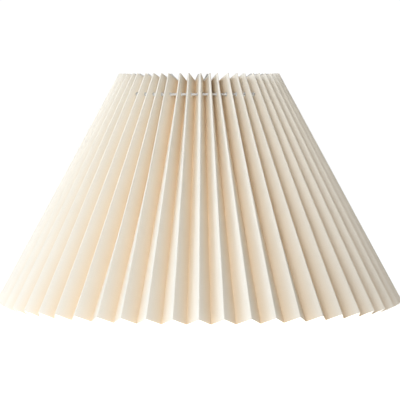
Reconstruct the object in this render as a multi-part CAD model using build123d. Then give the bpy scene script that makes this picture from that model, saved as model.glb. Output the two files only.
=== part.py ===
from build123d import *
import os
from math import atan2, cos, degrees, pi, radians, sin, sqrt, tan

# Pleated lamp shade on a welded wire carrier.
# Millimetres, +Z up. The origin is on the shade's axis, at the height it stands on.
# A ridge is an outer crease of the pleats, a valley is an inner one. All creases run from
# the hem, the wide lower edge, to the neck, the narrow upper edge.
# Heights in this script count from the hem ends of the ridges. write_parts() lifts every
# part so that the lowest points, the hem ends of the valleys, stand on z = 0.

# ---- Pleated skirt: cloth glued to film, folded square to the strip's edges ----------
PLEATS = 52
HEM_RIDGE_R = 203.0
NECK_RIDGE_R = 80.0
RIDGE_RISE = 226.5        # height of a ridge from hem to neck
PANEL_WIDTH = 16.5        # flat width between two creases
FABRIC_T = 0.3
FILM_T = 0.25
SEAM_ANGLE = 90.0         # the closing seam is on the ridge at the back

# ---- Closing seam: the strip's tail laps behind its first panel ----------------------
TAIL_WIDTH = 13.0
TAPE_T = 0.2
TAPE_WIDTH = 8.0
TAPE_FROM_RIDGE = 3.0
TAPE_END_MARGIN = 2.0     # tape stops short of the hem and of the neck

# ---- Gathering cord through one row of holes -----------------------------------------
CORD_D = 2.4
HOLE_CLEARANCE = 0.8      # all round the cord
HOLES_FROM_NECK = 19.1    # measured down the flat strip
HOLES_FROM_RIDGE = 8.25   # measured across a panel
KNOT_D = 4.4              # pulled tight between two panels
CORD_END_LENGTH = 17.0
CORD_END_SPREAD = 4.5     # degrees each loose end leans away from the other
CORD_END_LEAN = 4.0       # degrees both ends lean out of their valley

# ---- Wire carrier ---------------------------------------------------------------------
RING_WIRE_D = 3.2
STRUT_WIRE_D = 2.8
ARM_WIRE_D = 3.2
PLEAT_GAP = 0.4           # between a ring and the inside of the valleys
NECK_RING_DROP = 36.0     # ring's centre below the top of the ridges
HEM_RING_LIFT = 8.0       # ring's centre above the hem ends of the ridges
STRUTS = 4
STRUT_START_ANGLE = 45.0
ARMS = 3
ARM_START_ANGLE = 90.0
ARM_SHOULDER = 12.0       # level run of an arm beside the neck ring
ARM_TOE = 9.0             # level run of an arm beside the fitter ring
ARM_BEND_R = 7.0
FITTER_DROP = 24.0        # fitter ring's middle below the neck ring

# ---- Fitter ring and reducer ring -------------------------------------------------------
FITTER_BORE_R = 21.0      # slips over an E27 holder's 40 mm thread
FITTER_WALL = 1.5
FITTER_HEIGHT = 7.0
FITTER_FLANGE = 4.5       # flange's width outside the collar
FITTER_FLANGE_T = 1.5
REDUCER_FIT = 0.2         # round the reducer's spigot
REDUCER_SEAT_GAP = 0.05   # under the reducer's flange
REDUCER_BORE_R = 14.3     # slips over an E14 holder's 28 mm thread
REDUCER_FLANGE_T = 2.0
REDUCER_OVERHANG = 4.0    # flange's width outside the fitter ring's bore
REDUCER_SPIGOT_DEPTH = 5.0
REDUCER_SPIGOT_WALL = 1.8
EDGE_ROUND = 0.4

# ---- Worked out from the above ------------------------------------------------------------
HALF_PITCH = pi / PLEATS
SLOPE = atan2(HEM_RIDGE_R - NECK_RIDGE_R, RIDGE_RISE)
SKIRT_T = FABRIC_T + FILM_T
LAP_DEPTH = SKIRT_T + TAPE_T
HEM = 0
NECK = 1


def valley_radius(ridge_r):
    """Radius of the valleys that lie one panel's width from ridges at ridge_r."""
    a = (cos(HALF_PITCH) / cos(SLOPE)) ** 2 + sin(HALF_PITCH) ** 2
    b = ridge_r * cos(HALF_PITCH) / cos(SLOPE) ** 2
    c = (ridge_r / cos(SLOPE)) ** 2 - PANEL_WIDTH ** 2
    return (b - sqrt(b * b - a * c)) / a


def valley_drop(ridge_r):
    """How far a valley's end lies below a ridge's end, as the strip's edge is cut straight."""
    return tan(SLOPE) * (ridge_r - valley_radius(ridge_r) * cos(HALF_PITCH))


def crease(index, end):
    """End point of a crease on the outer face. Even creases are ridges, odd ones valleys."""
    ridge_r = NECK_RIDGE_R if end == NECK else HEM_RIDGE_R
    z = end * RIDGE_RISE
    r = ridge_r
    if index % 2:
        r = valley_radius(ridge_r)
        z -= valley_drop(ridge_r)
    angle = radians(SEAM_ANGLE) + index * HALF_PITCH
    return Vector(r * cos(angle), r * sin(angle), z)


def crease_direction(index):
    return (crease(index, NECK) - crease(index, HEM)).normalized()


def panel_normal(panel, at_crease, end):
    """Outward normal of a panel where it meets one of its two creases."""
    across = crease(panel + 1, end) - crease(panel, end)
    return across.cross(crease_direction(at_crease)).normalized()


def corner_shift(normal_a, normal_b, depth_a, depth_b):
    """Shift of a crease when its two panels move inwards by depth_a and depth_b."""
    c = normal_a.dot(normal_b)
    share_a = (c * depth_b - depth_a) / (1 - c * c)
    share_b = (c * depth_a - depth_b) / (1 - c * c)
    return normal_a * share_a + normal_b * share_b


def inner_valley(end):
    """Radius and height of a valley's end on the inside of the film."""
    shift = corner_shift(panel_normal(0, 1, end), panel_normal(1, 1, end), SKIRT_T, SKIRT_T)
    point = crease(1, end) + shift
    return sqrt(point.X ** 2 + point.Y ** 2), point.Z


def behind_first_panel(across, end, depth):
    """Point a given way across panel 0 from its ridge, at a depth below its outer face."""
    share = across / PANEL_WIDTH
    point = crease(0, end) * (1 - share) + crease(1, end) * share
    normal = panel_normal(0, 0, end) * (1 - share) + panel_normal(0, 1, end) * share
    return point - normal.normalized() * depth


def strip_column(index, end, depth):
    """Corner of the strip at a crease or cut edge, at a depth below its outer face."""
    tail_crease = 2 * PLEATS
    if index == 0:
        return behind_first_panel(0.0, end, depth)
    if index > tail_crease:
        return behind_first_panel(TAIL_WIDTH, end, depth + LAP_DEPTH)
    before = panel_normal(index - 1, index, end)
    after = panel_normal(index, index, end)
    behind = LAP_DEPTH if index == tail_crease else 0.0
    return crease(index, end) + corner_shift(before, after, depth, depth + behind)


def on_strip(first_column, share, end, depth):
    """Point on the strip, a share of the way from one column to the next."""
    left = strip_column(first_column, end, depth)
    right = strip_column(first_column + 1, end, depth)
    return left * (1 - share) + right * share


def ruled(a, b, c, d):
    """Face ruled between the lines a-b and c-d."""
    return Face.make_surface_from_curves(Edge.make_line(a, b), Edge.make_line(c, d))


def sheet_solid(columns):
    """Thin closed solid from columns of four corners: hem and neck outside, hem and neck inside."""
    faces = []
    for left, right in zip(columns, columns[1:]):
        for a, b in ((0, 1), (2, 3), (0, 2), (1, 3)):
            faces.append(ruled(left[a], left[b], right[a], right[b]))
    for hem_out, neck_out, hem_in, neck_in in (columns[0], columns[-1]):
        faces.append(ruled(hem_out, neck_out, hem_in, neck_in))
    solid = Solid(Shell(faces))
    return solid if solid.volume > 0 else Solid(-solid.wrapped)


def hole_centre():
    """Radius and height of the row of holes, which lies midway through the sheet."""
    slant = (crease(0, NECK) - crease(0, HEM)).length
    up = 1 - HOLES_FROM_NECK / slant
    depth = SKIRT_T / 2
    low = behind_first_panel(HOLES_FROM_RIDGE, HEM, depth)
    high = behind_first_panel(HOLES_FROM_RIDGE, NECK, depth)
    point = low * (1 - up) + high * up
    return sqrt(point.X ** 2 + point.Y ** 2), point.Z


CORD_R, CORD_Z = hole_centre()


def hole_punches():
    """One round punch through both panels of every ridge, from one valley to the next."""
    radius = CORD_D / 2 + HOLE_CLEARANCE
    length = 2 * pi * CORD_R / PLEATS
    punches = []
    for ridge in range(PLEATS):
        turn = SEAM_ANGLE + 360.0 * ridge / PLEATS
        punch = Rot(90, 0, 0) * Cylinder(radius, length)
        punches.append(Rot(0, 0, turn) * Pos(CORD_R, 0, CORD_Z) * punch)
    return punches


def skirt_layer(outer_depth, inner_depth):
    """One layer of the folded strip, with its holes."""
    columns = []
    for index in range(2 * PLEATS + 2):
        corners = [strip_column(index, end, depth)
                   for depth in (outer_depth, inner_depth) for end in (HEM, NECK)]
        columns.append(corners)
    return sheet_solid(columns) - hole_punches()


def make_skirt_fabric():
    return skirt_layer(0.0, FABRIC_T)


def make_skirt_film():
    return skirt_layer(FABRIC_T, SKIRT_T)


def make_seam_tape():
    """Tape from the inside of the first panel to the outside of the tail behind it."""
    slant = (crease(0, NECK) - crease(0, HEM)).length
    trim = TAPE_END_MARGIN / slant
    columns = []
    for across in (TAPE_FROM_RIDGE, TAPE_FROM_RIDGE + TAPE_WIDTH):
        panel_side = [on_strip(0, across / PANEL_WIDTH, end, SKIRT_T) for end in (HEM, NECK)]
        tail_side = [on_strip(2 * PLEATS, across / TAIL_WIDTH, end, 0.0) for end in (HEM, NECK)]
        corners = []
        for low, high in (panel_side, tail_side):
            corners.append(low * (1 - trim) + high * trim)
            corners.append(low * trim + high * (1 - trim))
        columns.append(corners)
    return sheet_solid(columns) - hole_punches()


def make_gathering_cord():
    """Loop through the holes, from its knot round to its knot, with two ends by the seam."""
    knot_turn = SEAM_ANGLE - 180.0 / PLEATS
    knot_share = 360.0 * KNOT_D / (2 * pi * CORD_R)
    section = Plane.XZ * Pos(CORD_R, CORD_Z) * Circle(CORD_D / 2)
    loop = revolve(section, axis=Axis.Z, revolution_arc=360.0 - knot_share / 2)
    knot = Sphere(KNOT_D / 2)
    ends = []
    for side in (-1, 1):
        end = Pos(0, 0, -CORD_END_LENGTH / 2) * Cylinder(CORD_D / 2, CORD_END_LENGTH)
        down_valley = Rot(0, -degrees(SLOPE) - CORD_END_LEAN, 0)
        ends.append(down_valley * Rot(side * CORD_END_SPREAD, 0, 0) * end)
    tied = Pos(CORD_R, 0, CORD_Z) * (knot + ends)
    return Rot(0, 0, knot_turn) * (Rot(0, 0, knot_share / 4) * loop + tied)


def ring_radius(z, wire_d):
    """Centre radius of a wire ring at height z that lies inside the valleys by PLEAT_GAP."""
    hem_r, hem_z = inner_valley(HEM)
    neck_r, neck_z = inner_valley(NECK)
    lean = atan2(hem_r - neck_r, neck_z - hem_z)
    valley_r = hem_r - (z - hem_z) * tan(lean)
    return valley_r - (wire_d / 2 + PLEAT_GAP) / cos(lean)


NECK_RING_Z = RIDGE_RISE - NECK_RING_DROP
NECK_RING_R = ring_radius(NECK_RING_Z, RING_WIRE_D)
HEM_RING_Z = HEM_RING_LIFT
HEM_RING_R = ring_radius(HEM_RING_Z, RING_WIRE_D)
FITTER_Z = NECK_RING_Z - FITTER_DROP
FITTER_OUTER_R = FITTER_BORE_R + FITTER_WALL
FITTER_TOP_Z = FITTER_Z + FITTER_HEIGHT / 2


def make_neck_ring():
    return Pos(0, 0, NECK_RING_Z) * Torus(NECK_RING_R, RING_WIRE_D / 2)


def make_hem_ring():
    return Pos(0, 0, HEM_RING_Z) * Torus(HEM_RING_R, RING_WIRE_D / 2)


def make_strut(angle):
    """Straight wire between the rings' centres, its ends saddled on the rings."""
    line = Edge.make_line((HEM_RING_R, 0, HEM_RING_Z), (NECK_RING_R, 0, NECK_RING_Z))
    section = Plane(origin=line @ 0, z_dir=line % 0) * Circle(STRUT_WIRE_D / 2)
    wire = sweep(section, path=line)
    return Rot(0, 0, angle) * (wire - make_hem_ring() - make_neck_ring())


def make_spider_arm(angle):
    """Bent wire from the neck ring down to the outside of the fitter ring's collar."""
    points = [
        (NECK_RING_R, 0, NECK_RING_Z),
        (NECK_RING_R - ARM_SHOULDER, 0, NECK_RING_Z),
        (FITTER_OUTER_R + ARM_TOE, 0, FITTER_Z),
        (FITTER_OUTER_R - FITTER_WALL / 2, 0, FITTER_Z),
    ]
    path = FilletPolyline(*points, radius=ARM_BEND_R)
    section = Plane(origin=path @ 0, z_dir=path % 0) * Circle(ARM_WIRE_D / 2)
    wire = sweep(section, path=path)
    collar = Pos(0, 0, FITTER_Z) * Cylinder(FITTER_OUTER_R, FITTER_HEIGHT)
    return Rot(0, 0, angle) * (wire - make_neck_ring() - collar)


def turned(points):
    """Solid of revolution about the shade's axis from (radius, height) points."""
    outline = Polyline(*[(r, 0, z) for r, z in points], close=True)
    return revolve(make_face(outline), axis=Axis.Z)


def round_rim(ring):
    """Round the edges of a ring's widest part."""
    rim = ring.edges().filter_by(GeomType.CIRCLE).group_by(SortBy.RADIUS)[-1]
    return fillet(rim, EDGE_ROUND)


def make_fitter_ring():
    """Pressed collar with a flange at its top, on which the holder's collar bears."""
    bottom = FITTER_Z - FITTER_HEIGHT / 2
    flange_r = FITTER_OUTER_R + FITTER_FLANGE
    flange_z = FITTER_TOP_Z - FITTER_FLANGE_T
    ring = turned([
        (FITTER_BORE_R, bottom),
        (FITTER_OUTER_R, bottom),
        (FITTER_OUTER_R, flange_z),
        (flange_r, flange_z),
        (flange_r, FITTER_TOP_Z),
        (FITTER_BORE_R, FITTER_TOP_Z),
    ])
    return round_rim(ring)


def make_reducer_ring():
    """Flanged plastic ring that drops into the fitter ring from above."""
    seat_z = FITTER_TOP_Z + REDUCER_SEAT_GAP
    top_z = seat_z + REDUCER_FLANGE_T
    spigot_r = FITTER_BORE_R - REDUCER_FIT
    flange_r = FITTER_BORE_R + REDUCER_OVERHANG
    foot_z = seat_z - REDUCER_SPIGOT_DEPTH
    floor_z = seat_z - REDUCER_FLANGE_T
    ring = turned([
        (REDUCER_BORE_R, foot_z),
        (REDUCER_BORE_R + REDUCER_SPIGOT_WALL, foot_z),
        (REDUCER_BORE_R + REDUCER_SPIGOT_WALL, seat_z),
        (spigot_r - REDUCER_SPIGOT_WALL, seat_z),
        (spigot_r - REDUCER_SPIGOT_WALL, foot_z),
        (spigot_r, foot_z),
        (spigot_r, seat_z),
        (flange_r, seat_z),
        (flange_r, top_z),
        (REDUCER_BORE_R, top_z),
    ])
    return round_rim(ring)


def write_parts():
    nodes = {
        "skirt_fabric": make_skirt_fabric(),
        "skirt_film": make_skirt_film(),
        "seam_tape": make_seam_tape(),
        "gathering_cord": make_gathering_cord(),
        "neck_ring": make_neck_ring(),
        "hem_ring": make_hem_ring(),
        "fitter_ring": make_fitter_ring(),
        "reducer_ring": make_reducer_ring(),
    }
    for number in range(STRUTS):
        angle = STRUT_START_ANGLE + 360.0 * number / STRUTS
        nodes[f"strut_{number + 1}"] = make_strut(angle)
    for number in range(ARMS):
        angle = ARM_START_ANGLE + 360.0 * number / ARMS
        nodes[f"spider_arm_{number + 1}"] = make_spider_arm(angle)
    os.makedirs("parts", exist_ok=True)
    lift = Pos(0, 0, -inner_valley(HEM)[1])
    for name, shape in nodes.items():
        export_step(lift * shape, f"parts/{name}.step")


write_parts()
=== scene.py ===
from math import atan2, cos, pi, radians, sin, sqrt, tan

import bpy
from mathutils import Matrix, Vector


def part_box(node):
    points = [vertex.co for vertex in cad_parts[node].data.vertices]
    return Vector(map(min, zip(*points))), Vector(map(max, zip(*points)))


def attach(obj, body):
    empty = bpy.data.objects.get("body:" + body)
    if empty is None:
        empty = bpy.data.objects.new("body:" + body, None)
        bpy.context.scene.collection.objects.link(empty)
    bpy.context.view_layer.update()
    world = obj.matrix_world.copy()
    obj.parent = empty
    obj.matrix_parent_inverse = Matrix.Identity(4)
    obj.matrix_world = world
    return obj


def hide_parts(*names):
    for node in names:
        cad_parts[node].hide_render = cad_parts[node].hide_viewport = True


# A pleated lamp shade, in the order it is put together: the welded wire carrier, the fitter
# and reducer rings, the pleated skirt, its seam tape and its gathering cord. Sizes in metres.
MM = 0.001
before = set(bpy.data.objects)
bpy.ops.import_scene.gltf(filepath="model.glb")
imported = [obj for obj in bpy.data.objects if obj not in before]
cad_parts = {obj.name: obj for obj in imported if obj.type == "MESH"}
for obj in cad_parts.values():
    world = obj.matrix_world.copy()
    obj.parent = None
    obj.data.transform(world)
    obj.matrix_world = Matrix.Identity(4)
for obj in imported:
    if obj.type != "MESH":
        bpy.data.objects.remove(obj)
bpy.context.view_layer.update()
scene = bpy.context.scene


# ---- Camera -----------------------------------------------------------------------------
# A long lens far in front of the shade, a little below its top, looking slightly down.
CAMERA_DISTANCE = 2359 * MM
CAMERA_HEIGHT = 224.8 * MM
CAMERA_ASIDE = 1.0 * MM
CAMERA_TILT = radians(2.89)
VIEW_WIDTH = 400 * MM                  # what the view takes in at the shade's axis
SENSOR = 36.0

camera = bpy.data.objects.new("camera", bpy.data.cameras.new("camera"))
camera.data.sensor_width = SENSOR
camera.data.lens = SENSOR * CAMERA_DISTANCE / VIEW_WIDTH
camera.location = (CAMERA_ASIDE, -CAMERA_DISTANCE, CAMERA_HEIGHT)
camera.rotation_euler = (pi / 2 - CAMERA_TILT, 0, 0)
scene.collection.objects.link(camera)
scene.camera = camera


# ---- Nodes as plain Python --------------------------------------------------------------
# Node trees for shapes and finishes are filled by calls and by arithmetic on their outputs.
class Wire:
    """A node's output. Arithmetic on it adds the Math or Vector Math node that does it."""

    def __init__(self, net, socket):
        self.net = net
        self.socket = socket

    def __add__(self, other):
        return self.net.calc("ADD", self, other)

    def __sub__(self, other):
        return self.net.calc("SUBTRACT", self, other)

    def __rsub__(self, other):
        return self.net.calc("SUBTRACT", other, self)

    def __mul__(self, other):
        return self.net.calc("MULTIPLY", self, other)

    def __rmul__(self, other):
        return self.net.calc("MULTIPLY", other, self)

    def __truediv__(self, other):
        return self.net.calc("DIVIDE", self, other)

    def __neg__(self):
        return self * -1.0

    def part(self, axis):
        return self.net.node("ShaderNodeSeparateXYZ", {}, {0: self}, "XYZ".index(axis))

    def unit(self):
        return self.net.calc("NORMALIZE", self)

    def length(self):
        return self.net.calc("LENGTH", self, output=1)

    def dot(self, other):
        return self.net.calc("DOT_PRODUCT", self, other, output=1)


class Net:
    """A node tree. A group's own inputs are in given, by name."""

    def __init__(self, tree):
        self.tree = tree
        self.given = {}

    def node(self, kind, settings, inputs, output=0):
        node = self.tree.nodes.new(kind)
        for name, value in settings.items():
            setattr(node, name, value)
        for key, value in inputs.items():
            self.plug(value, node.inputs[key])
        return Wire(self, node.outputs[output])

    def plug(self, value, socket):
        if isinstance(value, Wire):
            self.tree.links.new(value.socket, socket)
        else:
            socket.default_value = value

    def is_vector(self, value):
        if isinstance(value, Wire):
            return value.socket.type == "VECTOR"
        return isinstance(value, tuple)

    def calc(self, operation, *values, output=0):
        vectors = [self.is_vector(value) for value in values]
        settings = {"operation": operation}
        if not any(vectors):
            return self.node("ShaderNodeMath", settings, dict(enumerate(values)))
        if operation == "MULTIPLY" and not all(vectors):
            vector, number = values if vectors[0] else values[::-1]
            settings = {"operation": "SCALE"}
            return self.node("ShaderNodeVectorMath", settings, {0: vector, 3: number})
        return self.node("ShaderNodeVectorMath", settings, dict(enumerate(values)), output)

    def vector(self, x, y, z):
        return self.node("ShaderNodeCombineXYZ", {}, {0: x, 1: y, 2: z})


def between(a, b, share):
    return a * (1.0 - share) + b * share


def clamped(wire):
    return wire.net.calc("MAXIMUM", wire.net.calc("MINIMUM", wire, 1.0), 0.0)


def new_group(name, inputs, outputs):
    """Geometry node group. Inputs are name: (type, value), outputs are name: type."""
    net = Net(bpy.data.node_groups.new(name, "GeometryNodeTree"))
    new_socket = net.tree.interface.new_socket
    for label, (kind, value) in inputs.items():
        socket = new_socket(label, in_out="INPUT", socket_type="NodeSocket" + kind)
        if value is not None:
            socket.default_value = value
    for label, kind in outputs.items():
        new_socket(label, in_out="OUTPUT", socket_type="NodeSocket" + kind)
    source = net.tree.nodes.new("NodeGroupInput")
    net.given = {label: Wire(net, source.outputs[label]) for label in inputs}
    return net


def give(net, results):
    """Join a group's results to its outputs."""
    sink = net.tree.nodes.new("NodeGroupOutput")
    for label, wire in results.items():
        net.plug(wire, sink.inputs[label])


def use(net, group, inputs, output=0):
    """Add a group node, its inputs by name."""
    return net.node("GeometryNodeGroup", {"node_tree": group.tree}, inputs, output)


def grown(name, group, sizes, start=None):
    """Plain mesh object that a node group makes from start's mesh or curve, or from nothing."""
    seed = bpy.data.objects.new(name + "_seed", start or bpy.data.meshes.new(name + "_seed"))
    scene.collection.objects.link(seed)
    modifier = seed.modifiers.new("grow", "NODES")
    modifier.node_group = group.tree
    for item in group.tree.interface.items_tree:
        if item.in_out == "INPUT" and item.name in sizes:
            modifier[item.identifier] = sizes[item.name]
    depsgraph = bpy.context.evaluated_depsgraph_get()
    mesh = bpy.data.meshes.new_from_object(seed.evaluated_get(depsgraph))
    mesh.name = name
    piece = bpy.data.objects.new(name, mesh)
    scene.collection.objects.link(piece)
    bpy.data.objects.remove(seed)
    return piece


# ---- Finishes: the base that each one shares --------------------------------------------
# Every finish is a Principled surface whose colour and bump come from where it is on the piece.
def new_finish(name, roughness, **constants):
    """Material with its Principled shader, and the Net that colours it."""
    material = bpy.data.materials.new(name)
    material.use_nodes = True
    net = Net(material.node_tree)
    shader = material.node_tree.nodes["Principled BSDF"]
    shader.inputs["Roughness"].default_value = roughness
    for label, value in constants.items():
        shader.inputs[label.replace("_", " ")].default_value = value
    return material, net, shader


def tinted(net, dark, light, share):
    """Colour between two colours."""
    inputs = {0: share, 6: (*dark, 1.0), 7: (*light, 1.0)}
    return net.node("ShaderNodeMix", {"data_type": "RGBA"}, inputs, 2)


def bumped(net, shader, height, distance, strength=1.0):
    """Raise a finish by height times distance."""
    inputs = {"Strength": strength, "Distance": distance, "Height": height}
    net.plug(net.node("ShaderNodeBump", {}, inputs), shader.inputs["Normal"])


def noise(net, place, scale, detail=2.0, roughness=0.5):
    inputs = {"Vector": place, "Scale": scale, "Detail": detail, "Roughness": roughness}
    return net.node("ShaderNodeTexNoise", {}, inputs, 0)


def object_place(net):
    return net.node("ShaderNodeTexCoord", {}, {}, 3)


def mottled(net, shader, dark, light, scale):
    """Colour a finish between two colours by noise. Gives back the place the noise uses."""
    place = object_place(net)
    colour = tinted(net, dark, light, noise(net, place, scale))
    net.plug(colour, shader.inputs["Base Color"])
    return place


# ---- Floor and light --------------------------------------------------------------------
# A pale table lit from within, a white backdrop that gives way to a dim warm room in front and
# to the right, and two square soft lamps: one in front to the left, one cooler at the left side.
FLOOR_SIDE = 40.0
FLOOR_GLOW = 0.87
BACKDROP_LIGHT = 1.05
FRONT_WALL_SHARE = 0.18                # of the backdrop's light
CEILING_SHARE = 0.22
BACKDROP_COLOUR = (1.0, 1.0, 1.0, 1.0)
FRONT_WALL_COLOUR = (1.0, 0.85, 0.70, 1.0)
BACKDROP_SKEW = 0.4                    # turns the backdrop's middle to the left
BACKDROP_FROM = 0.75                   # a direction this far back is all backdrop
FRONT_WALL_FROM = 0.10                 # and one less far back than this all front wall
CEILING_FROM = 0.25                    # a direction this steep begins to dim
CEILING_FULL = 0.50                    # and one this steep is as dim as the ceiling
LAMP_AIM = Vector((0, 0, 0.1))
LAMPS = {  # turn from the front to the left, distance, height, side, power, colour
    "front_lamp": (radians(17), 3.0, 1.3, 1.8, 47.0, (0.98, 1.0, 1.03)),
    "side_lamp": (radians(72), 2.8, 1.2, 1.4, 27.0, (0.83, 1.02, 1.28)),
}

floor = bpy.data.objects.new("floor", bpy.data.meshes.new("floor"))
half = FLOOR_SIDE / 2
floor_corners = [(-half, -half, 0), (half, -half, 0), (half, half, 0), (-half, half, 0)]
floor.data.from_pydata(floor_corners, [], [(0, 1, 2, 3)])
scene.collection.objects.link(floor)
floor_finish, net, shader = new_finish("pale_floor", 0.8)
mottled(net, shader, (0.90, 0.90, 0.90), (0.93, 0.93, 0.93), 0.7)
shader.inputs["Emission Color"].default_value = (1, 1, 1, 1)
shader.inputs["Emission Strength"].default_value = FLOOR_GLOW
floor.data.materials.append(floor_finish)

world = bpy.data.worlds.new("studio")
world.use_nodes = True
scene.world = world
net = Net(world.node_tree)
towards = net.node("ShaderNodeTexCoord", {}, {}, 0)
away = towards.part("Y") - towards.part("X") * BACKDROP_SKEW
frontwards = {0: away, 1: BACKDROP_FROM, 2: FRONT_WALL_FROM, 3: 0.0, 4: 1.0}
front_share = net.node("ShaderNodeMapRange", {}, frontwards)
upwards = {0: towards.part("Z"), 1: CEILING_FROM, 2: CEILING_FULL, 3: 1.0, 4: CEILING_SHARE}
wall_share = between(1.0, FRONT_WALL_SHARE, front_share)
dimming = net.node("ShaderNodeMapRange", {}, upwards) * wall_share
backdrop = world.node_tree.nodes["Background"]
net.plug(dimming * BACKDROP_LIGHT, backdrop.inputs["Strength"])
room_colours = {0: front_share, 6: BACKDROP_COLOUR, 7: FRONT_WALL_COLOUR}
net.plug(net.node("ShaderNodeMix", {"data_type": "RGBA"}, room_colours, 2), backdrop.inputs["Color"])

for name, (turn, distance, height, side, power, colour) in LAMPS.items():
    lamp = bpy.data.objects.new(name, bpy.data.lights.new(name, "AREA"))
    lamp.data.size = side
    lamp.data.energy = power
    lamp.data.color = colour
    lamp.location = (-distance * sin(turn), -distance * cos(turn), height)
    lamp.rotation_euler = (lamp.location - LAMP_AIM).to_track_quat("Z", "Y").to_euler()
    scene.collection.objects.link(lamp)
scene.view_settings.view_transform = "Standard"


# ---- Wire carrier -----------------------------------------------------------------------
# Two rings of steel wire, four struts between them and three arms that carry the fitter
# ring, butt welded and then powder coated white.
WIRE_PARTS = ["neck_ring", "hem_ring"]
WIRE_PARTS += [f"strut_{number}" for number in range(1, 5)]
WIRE_PARTS += [f"spider_arm_{number}" for number in range(1, 4)]

powder_coat, net, shader = new_finish(
    "white_powder_coat", 0.38, Coat_Weight=0.2, Coat_Roughness=0.3
)
place = mottled(net, shader, (0.84, 0.84, 0.82), (0.89, 0.89, 0.87), 60.0)
bumped(net, shader, noise(net, place, 1800.0), 0.05 * MM, 0.5)
for node in WIRE_PARTS:
    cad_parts[node].data.materials.clear()
    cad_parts[node].data.materials.append(powder_coat)

# Where two wires were pressed together hot, a small uneven collar of steel was squeezed out.
WIRE_RADIUS = 1.6 * MM
COLLAR_RADIUS = 2.0 * MM
COLLAR_STANDOFF = 1.2 * MM             # keeps a collar out of the fitter ring's bore
COLLAR_SCALES = (0.88, 1.08)           # least and most
COLLAR_SEED = 3
FITTER_FLANGE = 4.5 * MM
STRUT_TURNS = [pi / 4 + number * pi / 2 for number in range(4)]
ARM_TURNS = [pi / 2 + number * 2 * pi / 3 for number in range(3)]


def ring_line(node):
    """Radius and height of a wire ring's centre line."""
    low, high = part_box(node)
    return high.x - WIRE_RADIUS, (low.z + high.z) / 2


neck_ring_radius, neck_ring_z = ring_line("neck_ring")
hem_ring_radius, hem_ring_z = ring_line("hem_ring")
fitter_low, fitter_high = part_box("fitter_ring")
collar_radius = fitter_high.x - FITTER_FLANGE
strut_way = Vector((neck_ring_radius - hem_ring_radius, 0, neck_ring_z - hem_ring_z)).normalized()
hem_joint = Vector((hem_ring_radius, 0, hem_ring_z)) + strut_way * WIRE_RADIUS
neck_joint = Vector((neck_ring_radius, 0, neck_ring_z)) - strut_way * WIRE_RADIUS
arm_joint = Vector((neck_ring_radius - WIRE_RADIUS, 0, neck_ring_z))
fitter_joint = Vector((collar_radius + COLLAR_STANDOFF, 0, (fitter_low.z + fitter_high.z) / 2))
joints = []
for turns, places in (
    (STRUT_TURNS, (hem_joint, neck_joint)),
    (ARM_TURNS, (arm_joint, fitter_joint)),
):
    for turn in turns:
        joints += [Matrix.Rotation(turn, 3, "Z") @ place for place in places]

weld_group = new_group(
    "Weld collars",
    {"Joints": ("Geometry", None), "Radius": ("Float", COLLAR_RADIUS),
     "Unevenness": ("Float", 0.35), "Finish": ("Material", None)},
    {"Mesh": "Geometry"},
)
net = weld_group
ball = {"Radius": net.given["Radius"], "Subdivisions": 4}
bead = net.node("GeometryNodeMeshIcoSphere", {}, ball)
least, most = COLLAR_SCALES
drawn = {2: least, 3: most, 8: COLLAR_SEED}
scale = net.node("FunctionNodeRandomValue", {"data_type": "FLOAT"}, drawn, 1)
placed = {0: net.given["Joints"], 2: bead, 6: net.vector(scale, scale, scale)}
beads = net.node("GeometryNodeInstanceOnPoints", {}, placed)
beads = net.node("GeometryNodeRealizeInstances", {}, {0: beads})
place = net.node("GeometryNodeInputPosition", {}, {})
outwards = net.node("GeometryNodeInputNormal", {}, {})
swell = (noise(net, place, 900.0) - 0.5) * net.given["Unevenness"] * net.given["Radius"]
beads = net.node("GeometryNodeSetPosition", {}, {0: beads, 3: outwards * swell})
beads = net.node("GeometryNodeSetShadeSmooth", {}, {0: beads, 2: True})
give(net, {"Mesh": net.node("GeometryNodeSetMaterial", {}, {0: beads, 2: net.given["Finish"]})})
joint_points = bpy.data.meshes.new("joints")
joint_points.from_pydata(joints, [], [])
weld_collars = grown("weld_collars", weld_group, {"Finish": powder_coat}, joint_points)
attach(weld_collars, "shade")


# ---- Fitter ring and reducer ring -------------------------------------------------------
# The fitter ring is a pressed steel collar, coated with the carrier. The reducer ring is
# moulded plastic that drops into it and takes its bore down to a smaller lamp holder.
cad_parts["fitter_ring"].data.materials.clear()
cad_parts["fitter_ring"].data.materials.append(powder_coat)

plastic, net, shader = new_finish("white_moulded_plastic", 0.42)
place = mottled(net, shader, (0.87, 0.87, 0.86), (0.91, 0.91, 0.90), 40.0)
bumped(net, shader, noise(net, place, 2600.0), 0.03 * MM, 0.4)
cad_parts["reducer_ring"].data.materials.clear()
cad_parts["reducer_ring"].data.materials.append(plastic)


# ---- Pleated skirt ----------------------------------------------------------------------
# One strip of plain-woven cream cloth, glued to a white film that keeps its folds sharp. It
# is folded to and fro square to its edges, and closed to a cone with a lap at the back.
PLEATS = 52
RIDGE_RISE = 226.5 * MM                # height of a ridge from hem to neck
NECK_RIDGE_RADIUS = 80.0 * MM
PANEL_WIDTH = 16.5 * MM
CLOTH_THICKNESS = 0.30 * MM
FILM_THICKNESS = 0.25 * MM
TAPE_THICKNESS = 0.20 * MM
RIDGE_ROUND = 0.75 * MM                # outside radius of a ridge's fold
VALLEY_ROUND = 0.15 * MM               # outside radius of a valley's fold
WANDER_AT_HEM = radians(0.35)          # how far a ridge may stand from its even place
WANDER_AT_NECK = radians(1.1)
PANEL_BOW = 0.25 * MM                  # how far a panel may belly in or out
SEAM_TURN = pi / 2
STEPS = 12                             # of the mesh across one panel
FOLD_STEPS = 3                         # of them on each half fold
FOLD_SHARE = 0.06                      # of a panel's width taken by each half fold
CLOTH_ROWS = 24
FILM_ROWS = 14
TAIL_STEPS = 8                         # the strip's tail behind its first panel
PUNCH_SIDES = 16
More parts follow.
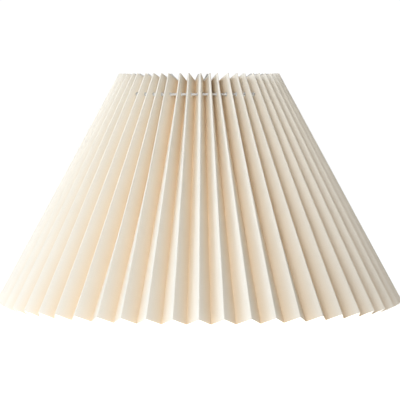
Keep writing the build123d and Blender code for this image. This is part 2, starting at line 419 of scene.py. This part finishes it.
SHARP_EDGE = 0.8                       # radians; an edge that turns more is shaded sharp
NECK_SEED_STEP = 7.0                   # sets the draws at the neck apart from those at the hem
BELLY_ACROSS = 3.7                     # how fast the belly changes from panel to panel
BELLY_UP = 1.6                         # and from hem to neck
CORD_THICKNESS = 2.4 * MM
KNOT_WIDTH = 4.4 * MM
HOLE_DIAMETER = 4.0 * MM

skirt_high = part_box("skirt_fabric")[1]
top_z = skirt_high.z
hem_z = top_z - RIDGE_RISE
hem_ridge_radius = skirt_high.x
slope = atan2(hem_ridge_radius - NECK_RIDGE_RADIUS, RIDGE_RISE)
strip_height = RIDGE_RISE / cos(slope)
half_pitch = pi / PLEATS
cord_low, cord_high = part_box("gathering_cord")
cord_radius = -cord_low.y - CORD_THICKNESS / 2
cord_z = cord_high.z - KNOT_WIDTH / 2


def valley_radius(ridge_radius):
    """Radius of the valleys one panel's width from ridges at ridge_radius."""
    a = (cos(half_pitch) / cos(slope)) ** 2 + sin(half_pitch) ** 2
    b = ridge_radius * cos(half_pitch) / cos(slope) ** 2
    c = (ridge_radius / cos(slope)) ** 2 - PANEL_WIDTH ** 2
    return (b - sqrt(b * b - a * c)) / a


def valley_end(ridge_radius, ridge_z):
    """Radius and height of a valley's end as (radius, 0, height), on the strip's straight edge."""
    radius = valley_radius(ridge_radius)
    drop = tan(slope) * (ridge_radius - radius * cos(half_pitch))
    return radius, 0.0, ridge_z - drop


SKIRT_SIZES = {
    "Pleats": ("Int", PLEATS),
    "Ridge at hem": ("Vector", (hem_ridge_radius, 0.0, hem_z)),
    "Ridge at neck": ("Vector", (NECK_RIDGE_RADIUS, 0.0, top_z)),
    "Valley at hem": ("Vector", valley_end(hem_ridge_radius, hem_z)),
    "Valley at neck": ("Vector", valley_end(NECK_RIDGE_RADIUS, top_z)),
    "Wander at hem": ("Float", WANDER_AT_HEM),
    "Wander at neck": ("Float", WANDER_AT_NECK),
    "Seed": ("Int", 4),
}


def handed_on(net):
    return {label: net.given[label] for label in SKIRT_SIZES}


def wander(net, crease, end_seed):
    """A crease's random lean, -1 to 1. A valley takes the mean of the ridges beside it."""
    odd = net.calc("FLOORED_MODULO", crease, 2.0)
    leans = []
    for ridge in (crease - odd, crease + odd):
        turn = net.calc("FLOORED_MODULO", ridge, net.given["Pleats"] * 2.0)
        inputs = {2: -1.0, 3: 1.0, 7: turn, 8: net.given["Seed"] + end_seed}
        leans.append(net.node("FunctionNodeRandomValue", {"data_type": "FLOAT"}, inputs, 1))
    return (leans[0] + leans[1]) * 0.5


crease_group = new_group(
    "Crease",
    {"Index": ("Float", 0.0), "Height": ("Float", 0.0), **SKIRT_SIZES},
    {"Position": "Vector"},
)
net = crease_group
index = net.given["Index"]
odd = net.calc("FLOORED_MODULO", index, 2.0)
ends = []
for end_seed, end in enumerate(("hem", "neck")):
    profile = between(net.given[f"Ridge at {end}"], net.given[f"Valley at {end}"], odd)
    lean = wander(net, index, end_seed * NECK_SEED_STEP) * net.given[f"Wander at {end}"]
    turn = index * pi / net.given["Pleats"] + SEAM_TURN + lean
    radius = profile.part("X")
    across = net.calc("COSINE", turn) * radius
    along = net.calc("SINE", turn) * radius
    ends.append(net.vector(across, along, profile.part("Z")))
give(net, {"Position": between(ends[0], ends[1], net.given["Height"])})

# A panel's section runs round its ridge's fold, straight across, and round its valley's fold.
fold_group = new_group(
    "Folded strip",
    {"Panels along": ("Float", 0.0), "Height": ("Float", 0.0), "Depth": ("Float", 0.0),
     "Lap": ("Float", 0.0), "Ridge round": ("Float", 0.0), "Valley round": ("Float", 0.0),
     "Bow": ("Float", 0.0), **SKIRT_SIZES},
    {"Position": "Vector", "Flat": "Float"},
)
net = fold_group
height = net.given["Height"]
depth = net.given["Depth"]
panels_along = net.given["Panels along"]
last = net.given["Pleats"] * 2.0


def plain_corner(crease):
    return use(net, crease_group, {"Index": crease, "Height": height, **handed_on(net)})


# The tail lies behind the first panel: from the last ridge on, corners shift in by the lap.
closing = [plain_corner(last + step) for step in (-1.0, 0.0, 1.0)]
back_leg = (closing[0] - closing[1]).unit()
tail_leg = (closing[2] - closing[1]).unit()
lap_sine = net.calc("CROSS_PRODUCT", back_leg, tail_leg).length()
lap_shift = back_leg * (net.given["Lap"] / lap_sine)


def corner(crease):
    in_tail = net.calc("GREATER_THAN", crease, last - 0.5)
    return plain_corner(crease) + lap_shift * in_tail


panel = net.calc("FLOOR", panels_along)
step_share = panels_along - panel
odd = net.calc("FLOORED_MODULO", panel, 2.0)
ridge_index = panel + odd
valley_index = panel + 1.0 - odd
from_ridge = between(step_share, 1.0 - step_share, odd)
ridge = corner(ridge_index)
valley = corner(valley_index)
valley_before = corner(ridge_index * 2.0 - valley_index)
ridge_after = corner(valley_index * 2.0 - ridge_index)
panel_leg = (valley - ridge).unit()
inward = (panel_leg + (valley_before - ridge).unit()).unit()
outward = ((ridge_after - valley).unit() - panel_leg).unit()
ridge_round = net.given["Ridge round"]
valley_round = net.given["Valley round"]
ridge_centre = ridge + inward * ridge_round
valley_centre = valley + outward * valley_round
span = valley_centre - ridge_centre
reach = span.length()
way = span.unit()
square = ((outward - way * outward.dot(way)) - (inward - way * inward.dot(way))).unit()
tilt = (ridge_round + valley_round) / reach
facing = (square * net.calc("SQRT", 1.0 - tilt * tilt) + way * tilt).unit()

quarter = FOLD_STEPS / STEPS
ridge_turn = clamped(from_ridge / quarter)
valley_turn = clamped((1.0 - from_ridge) / quarter)
ridge_facing = between(-inward, facing, ridge_turn).unit()
valley_facing = between(outward, facing, valley_turn).unit()
on_ridge = ridge_centre + ridge_facing * (ridge_round - depth)
on_valley = valley_centre - valley_facing * (valley_round + depth)
flat_turn = clamped((from_ridge - quarter) / (1.0 - 2 * quarter))
belly_panel = net.calc("FLOORED_MODULO", panel, last)
belly_place = net.vector(belly_panel * BELLY_ACROSS, height * BELLY_UP, 0.0)
belly_noise = noise(net, belly_place, 1.0) * 2.0 - 1.0
belly = belly_noise * net.given["Bow"] * net.calc("SINE", flat_turn * pi)
panel_top = ridge_centre + facing * ridge_round
panel_foot = valley_centre - facing * valley_round
on_panel = between(panel_top, panel_foot, flat_turn) + facing * (belly - depth)
in_ridge = net.calc("LESS_THAN", from_ridge, quarter)
in_valley = net.calc("GREATER_THAN", from_ridge, 1.0 - quarter)
position = on_ridge * in_ridge + on_valley * in_valley + on_panel * (1.0 - in_ridge - in_valley)

# How far along the flat strip the point is, in panels.
first_turn = clamped(step_share / quarter)
middle_turn = clamped((step_share - quarter) / (1.0 - 2 * quarter))
last_turn = clamped((step_share - (1.0 - quarter)) / quarter)
flat = panel + (first_turn + last_turn) * FOLD_SHARE + middle_turn * (1.0 - 2 * FOLD_SHARE)
give(net, {"Position": position, "Flat": flat})

# The strip's mesh is a flat slab, bent by the group above, with a row of punched holes.
STRIP_SIZES = {
    "From panel": ("Float", quarter),
    "To panel": ("Float", 2.0 * PLEATS + TAIL_STEPS / STEPS),
    "Steps": ("Int", round((2 * PLEATS - quarter) * STEPS) + TAIL_STEPS),
    "Rows": ("Int", CLOTH_ROWS),
    "Bottom": ("Float", 0.0),
    "Top": ("Float", 1.0),
    "Outer depth": ("Float", 0.0),
    "Inner depth": ("Float", CLOTH_THICKNESS),
    "Panel width": ("Float", PANEL_WIDTH),
    "Strip height": ("Float", strip_height),
    "Lap": ("Float", CLOTH_THICKNESS + FILM_THICKNESS + TAPE_THICKNESS),
    "Ridge round": ("Float", RIDGE_ROUND),
    "Valley round": ("Float", VALLEY_ROUND),
    "Bow": ("Float", PANEL_BOW),
    "Hole row radius": ("Float", cord_radius),
    "Hole row height": ("Float", cord_z),
    "Hole diameter": ("Float", HOLE_DIAMETER),
    "Finish": ("Material", None),
}
strip_group = new_group(
    "Pleated strip",
    {**STRIP_SIZES, **SKIRT_SIZES},
    {"Mesh": "Geometry"},
)
net = strip_group
slab = net.node("GeometryNodeMeshCube", {}, {
    "Size": (1.0, 1.0, 1.0),
    "Vertices X": net.given["Steps"] + 1.0,
    "Vertices Y": 2,
    "Vertices Z": net.given["Rows"] + 1.0,
})
place = net.node("GeometryNodeInputPosition", {}, {})
along = between(net.given["From panel"], net.given["To panel"], place.part("X") + 0.5)
depth = between(net.given["Outer depth"], net.given["Inner depth"], place.part("Y") + 0.5)
up = between(net.given["Bottom"], net.given["Top"], place.part("Z") + 0.5)
folded = use(net, fold_group, {
    "Panels along": along, "Height": up, "Depth": depth,
    **{label: net.given[label] for label in ("Lap", "Ridge round", "Valley round", "Bow")},
    **handed_on(net),
})
flat = Wire(net, folded.socket.node.outputs["Flat"])
flat_place = net.vector(flat * net.given["Panel width"], up * net.given["Strip height"], 0.0)
marked = net.node(
    "GeometryNodeStoreNamedAttribute",
    {"data_type": "FLOAT2", "domain": "CORNER"},
    {0: slab, 2: "flat", 3: flat_place},
)
bent = net.node("GeometryNodeSetPosition", {}, {0: marked, 2: folded})

hole_share = (net.given["Hole row height"] - hem_z) / RIDGE_RISE
hole_points = net.node("GeometryNodePoints", {}, {0: net.given["Pleats"]})
which = net.node("GeometryNodeInputIndex", {}, {}) * 2.0
ridge_place = use(net, crease_group, {"Index": which, "Height": hole_share, **handed_on(net)})
ridge_way = (ridge_place * (1.0, 1.0, 0.0)).unit()
hole_height = net.vector(0.0, 0.0, net.given["Hole row height"])
hole_place = ridge_way * net.given["Hole row radius"] + hole_height
hole_way = net.calc("CROSS_PRODUCT", (0.0, 0.0, 1.0), ridge_way)
hole_points = net.node("GeometryNodeSetPosition", {}, {0: hole_points, 2: hole_place})
punch = net.node("GeometryNodeMeshCylinder", {"fill_type": "NGON"}, {
    "Vertices": PUNCH_SIDES,
    "Radius": net.given["Hole diameter"] / 2.0,
    "Depth": net.given["Hole row radius"] * (2 * pi) / net.given["Pleats"],
})
punch_turn = net.node("FunctionNodeAlignRotationToVector", {"axis": "Z"}, {2: hole_way})
punches = net.node("GeometryNodeInstanceOnPoints", {}, {0: hole_points, 2: punch, 5: punch_turn})
punches = net.node("GeometryNodeRealizeInstances", {}, {0: punches})
cutting = {"operation": "DIFFERENCE", "solver": "MANIFOLD"}
holed = net.node("GeometryNodeMeshBoolean", cutting, {0: bent, 1: punches})
edge_angle = net.node("GeometryNodeInputMeshEdgeAngle", {}, {})
sharp = net.calc("GREATER_THAN", edge_angle, SHARP_EDGE)
smooth = net.node("GeometryNodeSetShadeSmooth", {"domain": "FACE"}, {0: holed, 2: True})
smooth = net.node("GeometryNodeSetShadeSmooth", {"domain": "EDGE"}, {0: smooth, 1: sharp, 2: False})
finished = net.node("GeometryNodeRealizeInstances", {}, {0: smooth})
give(net, {"Mesh": net.node("GeometryNodeSetMaterial", {}, {0: finished, 2: net.given["Finish"]})})

# Cream cloth: fine plain weave with a few thick threads, plus painted shade that turns the colour
# warmer and darker down in the valleys, standing in for light bounced between the folds.
THREAD = 0.42 * MM
CLOTH_DARK = (0.865, 0.805, 0.69)
CLOTH_LIGHT = (0.915, 0.865, 0.765)
# Painted shade: the cloth colour is multiplied by the first colour at the valleys and by the second,
# plain white, at the ridges.
VALLEY_PAINTED_SHADE = (0.97, 0.83, 0.67)
RIDGE_UNSHADED = (1.0, 1.0, 1.0)
cloth, net, shader = new_finish("cream_cloth", 0.9)
flat_xy = net.node("ShaderNodeAttribute", {"attribute_name": "flat"}, {}, 1)
across_cloth = flat_xy.part("X")
up_cloth = flat_xy.part("Y")
warp = net.calc("SINE", across_cloth * (2 * pi / THREAD))
weft = net.calc("SINE", up_cloth * (2 * pi / THREAD))
weave = warp * weft
slub_across = noise(net, net.vector(across_cloth * 60.0, up_cloth * 1400.0, 0.0), 1.0, 3.0)
slub_up = noise(net, net.vector(across_cloth * 1400.0, up_cloth * 45.0, 5.0), 1.0, 3.0)
blotch = noise(net, flat_xy, 22.0, 3.0)
tone = slub_across * 0.35 + slub_up * 0.35 + blotch * 0.30
panels = across_cloth / PANEL_WIDTH
unshaded_towards_ridge = net.calc("PINGPONG", panels + 1.0, 1.0)
thread_tone = tinted(net, CLOTH_DARK, CLOTH_LIGHT, clamped((tone - 0.5) * 2.2 + 0.5))
# Painted shade: darker, warmer colour towards each valley, none at the ridges, multiplied onto the
# thread colour.
painted_valley_shade = tinted(net, VALLEY_PAINTED_SHADE, RIDGE_UNSHADED, clamped(unshaded_towards_ridge * 1.2))
mixing = {"data_type": "RGBA", "blend_type": "MULTIPLY"}
cloth_tone_and_painted_shade = net.node("ShaderNodeMix", mixing, {0: 1.0, 6: thread_tone, 7: painted_valley_shade}, 2)
net.plug(cloth_tone_and_painted_shade, shader.inputs["Base Color"])
bumped(net, shader, weave * 0.5 + (slub_across + slub_up) * 0.8, 0.05 * MM, 0.5)

film, net, shader = new_finish("white_film", 0.45)
mottled(net, shader, (0.87, 0.86, 0.81), (0.91, 0.90, 0.86), 18.0)

cloth_skirt = grown("pleated_cloth", strip_group, {"Finish": cloth})
film_skirt = grown("pleated_film", strip_group, {
    "Rows": FILM_ROWS,
    "Outer depth": CLOTH_THICKNESS,
    "Inner depth": CLOTH_THICKNESS + FILM_THICKNESS,
    "Finish": film,
})
for skirt, node, slot in (
    (cloth_skirt, "skirt_fabric", "cream_fabric"),
    (film_skirt, "skirt_film", "white_film"),
):
    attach(skirt, "shade")
    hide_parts(node)


# ---- Seam tape --------------------------------------------------------------------------
# Double-sided tape between the first panel and the tail behind it, short of both edges.
TAPE_WIDTH = 8.0 * MM
TAPE_FROM_RIDGE = 3.0 * MM
TAPE_END_MARGIN = 2.0 * MM
TAPE_STEPS = 6


def step_place(across):
    """How far across its panel the mesh is, where the flat strip is this far from the ridge."""
    share = across / PANEL_WIDTH
    return quarter + (1.0 - 2 * quarter) * (share - FOLD_SHARE) / (1.0 - 2 * FOLD_SHARE)


tape_film, net, shader = new_finish("clear_tape", 0.22)
mottled(net, shader, (0.85, 0.84, 0.78), (0.90, 0.89, 0.84), 30.0)

seam_tape = grown("double_sided_tape", strip_group, {
    "From panel": step_place(TAPE_FROM_RIDGE),
    "To panel": step_place(TAPE_FROM_RIDGE + TAPE_WIDTH),
    "Steps": TAPE_STEPS,
    "Rows": FILM_ROWS,
    "Bottom": TAPE_END_MARGIN / strip_height,
    "Top": 1.0 - TAPE_END_MARGIN / strip_height,
    "Outer depth": CLOTH_THICKNESS + FILM_THICKNESS,
    "Inner depth": CLOTH_THICKNESS + FILM_THICKNESS + TAPE_THICKNESS,
    "Finish": tape_film,
})
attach(seam_tape, "shade")
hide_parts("seam_tape")


# ---- Gathering cord ---------------------------------------------------------------------
# Three white strands laid together, threaded through the row of holes and knotted in the
# first valley beside the seam, with two short ends down the valley.
END_LENGTH = 17.0 * MM
END_SPREAD = radians(4.5)
END_LEAN = radians(4.0)
KNOT_COIL = (KNOT_WIDTH - CORD_THICKNESS) / 2
KNOT_POINTS = 16
LOOP_POINTS = 360
STRANDS = 3
STRAND_SIDES = 10
TWIST_PITCH = 6.0 * MM
SAMPLE_LENGTH = 0.5 * MM

# Strands that touch each other inside the cord's width.
strand_radius = CORD_THICKNESS / 2 / (1.0 + 1.0 / sin(pi / STRANDS))
strand_offset = CORD_THICKNESS / 2 - strand_radius
knot_turn = SEAM_TURN - half_pitch
knot_half = KNOT_COIL * 1.5


def knot_frame(point):
    """Place in the room of a point given outwards, along the loop and up from the knot."""
    out, along, up = point
    place = Matrix.Rotation(knot_turn, 3, "Z") @ Vector((cord_radius + out, along, up))
    return place + Vector((0, 0, cord_z))


def knot_end(side):
    """Points from an end's tip up into the knot and round it, to where the loop leaves."""
    lean = slope + END_LEAN
    tip = Vector((sin(lean), 0, -cos(lean))) * cos(END_SPREAD)
    tip.y = side * sin(END_SPREAD)
    points = [knot_frame(tip * far) for far in (END_LENGTH, END_LENGTH / 2, KNOT_WIDTH / 2)]
    for step in range(KNOT_POINTS):
        share = step / (KNOT_POINTS - 1)
        turn = -pi / 2 - side * 2 * pi * share
        along = side * knot_half * (share - 0.5) * 2
        points.append(knot_frame((KNOT_COIL * cos(turn), along, KNOT_COIL * sin(turn))))
    return points


cord_line = knot_end(-1.0)
cord_line.reverse()
loop_start = knot_turn + knot_half * 2 / cord_radius
sweep = 2 * pi - 4 * knot_half / cord_radius
loop = []
for step in range(LOOP_POINTS):
    turn = loop_start + sweep * step / (LOOP_POINTS - 1)
    loop.append(Vector((cord_radius * cos(turn), cord_radius * sin(turn), cord_z)))
cord_points = knot_end(1.0) + loop + cord_line

cord_path = bpy.data.curves.new("cord_path", "CURVE")
cord_path.dimensions = "3D"
spline = cord_path.splines.new("POLY")
spline.points.add(len(cord_points) - 1)
for point, place in zip(spline.points, cord_points):
    point.co = (*place, 1.0)

cord_group = new_group(
    "Twisted cord",
    {"Path": ("Geometry", None), "Strand radius": ("Float", strand_radius),
     "Strand offset": ("Float", strand_offset), "Strands": ("Int", STRANDS),
     "Twist pitch": ("Float", TWIST_PITCH), "Sample length": ("Float", SAMPLE_LENGTH),
     "Finish": ("Material", None)},
    {"Mesh": "Geometry"},
)
net = cord_group
sampling = {"Curve": net.given["Path"], "Length": net.given["Sample length"]}
line = net.node("GeometryNodeResampleCurve", {"mode": "LENGTH"}, sampling)
along = net.node("GeometryNodeSplineParameter", {}, {}, 1)
twist = along * (2 * pi) / net.given["Twist pitch"]
line = net.node("GeometryNodeSetCurveTilt", {}, {"Curve": line, "Tilt": twist})
round_strand = {"Resolution": STRAND_SIDES, "Radius": net.given["Strand radius"]}
strand = net.node("GeometryNodeCurvePrimitiveCircle", {}, round_strand)
laid = {"Resolution": net.given["Strands"], "Radius": net.given["Strand offset"]}
centres = net.node("GeometryNodeCurvePrimitiveCircle", {}, laid)
strands = net.node("GeometryNodeInstanceOnPoints", {}, {0: centres, 2: strand})
strands = net.node("GeometryNodeRealizeInstances", {}, {0: strands})
swept = {"Curve": line, "Profile Curve": strands, "Fill Caps": True}
cord_mesh = net.node("GeometryNodeCurveToMesh", {}, swept)
cord_mesh = net.node("GeometryNodeSetShadeSmooth", {}, {0: cord_mesh, 2: True})
cord_mesh = net.node("GeometryNodeRealizeInstances", {}, {0: cord_mesh})
give(net, {"Mesh": net.node("GeometryNodeSetMaterial", {}, {0: cord_mesh, 2: net.given["Finish"]})})

white_cord, net, shader = new_finish("white_twisted_cord", 0.85)
place = mottled(net, shader, (0.76, 0.755, 0.74), (0.87, 0.865, 0.85), 700.0)
bumped(net, shader, noise(net, place, 4000.0), 0.04 * MM, 0.6)

twisted_cord = grown("twisted_cord", cord_group, {"Finish": white_cord}, cord_path)
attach(twisted_cord, "shade")
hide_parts("gathering_cord")
